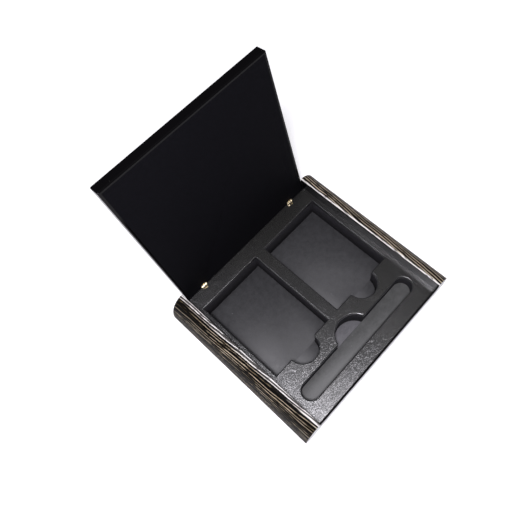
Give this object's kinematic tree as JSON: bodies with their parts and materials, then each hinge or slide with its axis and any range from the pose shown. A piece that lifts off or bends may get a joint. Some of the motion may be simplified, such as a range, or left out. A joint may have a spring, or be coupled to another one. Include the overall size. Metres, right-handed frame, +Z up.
{
  "type": "playing card carry case",
  "caption": "Flat hinged-lid case with rounded veneered side rails, card pockets with finger notches and a pen slot.",
  "frame": {"origin": "centre of the flat underside of the closed case's footprint, on the surface it stands on", "axes": "+X along the lid hinge to the right as seen from the front, +Y from the front to the hinge side, +Z up"},
  "size_m": [0.1944, 0.2007, 0.1862],
  "materials": {
    "black_lacquer": "deep black high-gloss lacquer over solid wood and fibreboard, edges eased",
    "zebrano_veneer": "dark zebrano veneer with pale silver and tan streaks along the case depth, gloss lacquered",
    "deck_leatherette": "charcoal leatherette with a fine pebble grain, satin",
    "wall_lining": "near-black leatherette lining of the pocket walls, matte",
    "floor_lining": "dark grey leatherette lining of the pocket floors, matte",
    "slot_lining": "mid-grey leatherette lining of the pen slot, matte",
    "lid_lining": "matte black lining sheet inside the lid",
    "fibreboard": "raw medium-density fibreboard, hidden",
    "beech": "plain beech dowels, hidden",
    "baize": "black wool baize",
    "brass": "turned and polished brass",
    "steel": "bright zinc-plated steel",
    "magnet": "nickel-plated magnet discs, hidden"
  },
  "bodies": {
    "case": {"base_panel": "fibreboard", "base_baize": "baize", "base_screws": "steel", "front_wall": "black_lacquer", "back_wall": "black_lacquer", "tray_core": "fibreboard", "tray_deck": "deck_leatherette", "right_pocket_lining": "wall_lining", "left_pocket_lining": "wall_lining", "pen_slot_lining": "wall_lining", "right_pocket_floor": "floor_lining", "left_pocket_floor": "floor_lining", "pen_slot_floor": "slot_lining", "thumb_notch_floor": "slot_lining", "right_rail": "black_lacquer", "left_rail": "black_lacquer", "right_rail_veneer": "zebrano_veneer", "left_rail_veneer": "zebrano_veneer", "right_rail_dowels": "beech", "left_rail_dowels": "beech", "case_magnets": "magnet", "right_hinge_case_barrel": "brass", "left_hinge_case_barrel": "brass", "right_hinge_pin": "steel", "left_hinge_pin": "steel", "case_barrel_grub_screws": "steel"},
    "lid": {"lid_panel": "black_lacquer", "lid_lining": "lid_lining", "right_hinge_lid_barrel": "brass", "left_hinge_lid_barrel": "brass", "lid_magnets": "magnet", "lid_barrel_grub_screws": "steel"}
  },
  "joints": [
    {"name": "lid_hinge", "type": "hinge", "parent": "case", "child": "lid", "pos_m": [0, 0.0788, 0.0282], "axis": [1, 0, 0], "range_deg": [0, 100.7]}
  ]
}
